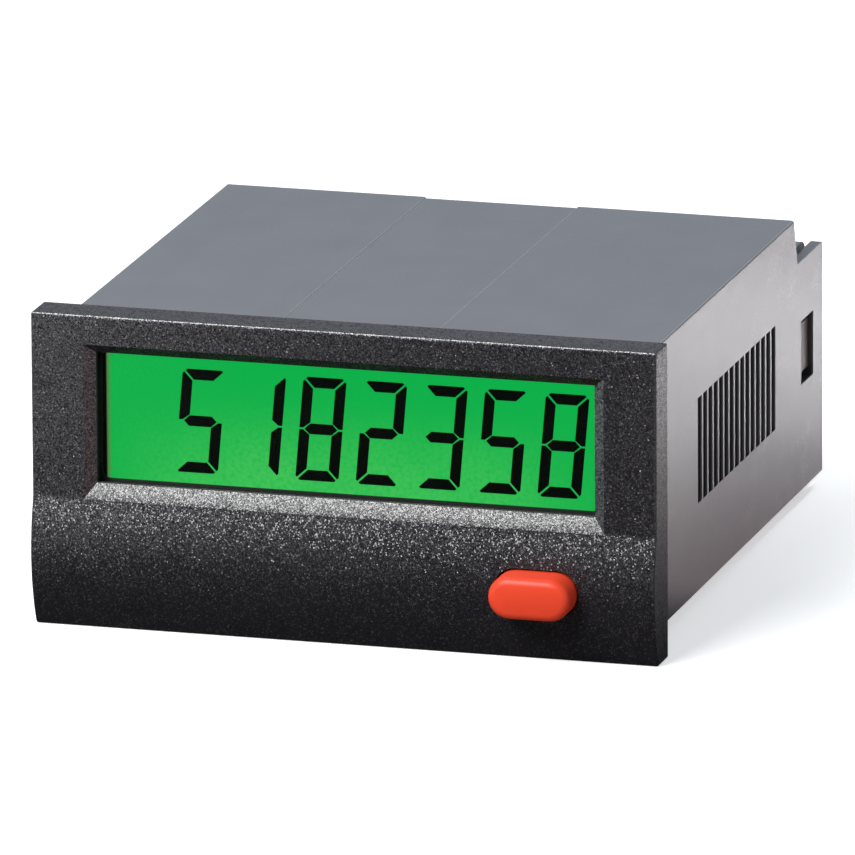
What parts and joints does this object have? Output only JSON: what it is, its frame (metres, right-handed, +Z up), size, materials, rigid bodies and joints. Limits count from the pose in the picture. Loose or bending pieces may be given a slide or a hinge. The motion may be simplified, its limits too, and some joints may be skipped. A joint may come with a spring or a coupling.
{
  "type": "panel counter",
  "caption": "Panel-mounting totalising counter: backlit display behind a sloped window frame, orange reset button, deep housing with ratchet racks, rear screw terminals.",
  "frame": {"origin": "middle of the whole width and depth, at the underside of the bezel", "axes": "+X to the right seen from the front, +Y from the front face to the rear, +Z up"},
  "size_m": [0.048, 0.0564, 0.024],
  "materials": {
    "bezel_black": "fine moulded grain with bright speckle",
    "housing_grey": "smooth satin moulding",
    "terminal_block_grey": "satin moulding",
    "button_orange": "satin with a rounded rim",
    "window_clear": "clear pane",
    "display_green": "lit green field with dark segments",
    "rear_glass": "glass with a diffusing film",
    "light_guide_clear": "clear moulding",
    "holder_white": "satin white moulding",
    "lamp_green": "small green lamp",
    "contact_rubber": "striped silicone rubber",
    "board_green": "solder resist on laminate",
    "moulded_black": "black moulding",
    "plated_steel": "zinc-plated steel",
    "plated_brass": "tin-plated brass",
    "battery_sleeve": "shrink sleeve"
  },
  "bodies": {
    "counter_case": {"front_bezel": "bezel_black", "display_window": "window_clear", "display_mask": "moulded_black", "lcd_front_glass": "display_green", "lcd_rear_glass": "rear_glass", "light_guide": "light_guide_clear", "backlight_led_left": "lamp_green", "backlight_led_right": "lamp_green", "lcd_holder": "holder_white", "contact_strip": "contact_rubber", "switch_case": "moulded_black", "display_board": "board_green", "main_board": "board_green", "board_link": "moulded_black", "battery_cell": "battery_sleeve", "battery_tab_minus": "plated_steel", "battery_tab_plus": "plated_steel", "processor_chip": "moulded_black", "capacitor_can": "battery_sleeve", "crystal_can": "plated_steel", "housing": "housing_grey", "terminal_block": "terminal_block_grey", "terminal_cage_1": "plated_steel", "terminal_cage_2": "plated_steel", "terminal_cage_3": "plated_steel", "terminal_cage_4": "plated_steel", "terminal_cage_5": "plated_steel", "terminal_cage_6": "plated_steel", "terminal_cage_7": "plated_steel", "terminal_cage_8": "plated_steel", "terminal_contact_1": "plated_brass", "terminal_contact_2": "plated_brass", "terminal_contact_3": "plated_brass", "terminal_contact_4": "plated_brass", "terminal_contact_5": "plated_brass", "terminal_contact_6": "plated_brass", "terminal_contact_7": "plated_brass", "terminal_contact_8": "plated_brass", "terminal_screw_1": "plated_steel", "terminal_screw_2": "plated_steel", "terminal_screw_3": "plated_steel", "terminal_screw_4": "plated_steel", "terminal_screw_5": "plated_steel", "terminal_screw_6": "plated_steel", "terminal_screw_7": "plated_steel", "terminal_screw_8": "plated_steel"},
    "reset_button": {"reset_button": "button_orange", "switch_plunger": "holder_white"}
  },
  "joints": [
    {"name": "reset_slide", "type": "slide", "parent": "counter_case", "child": "reset_button", "axis": [0, 1, 0], "range_m": [0, 0.0005], "stiffness_N_per_m": 1000, "springref_m": -0.0005}
  ]
}
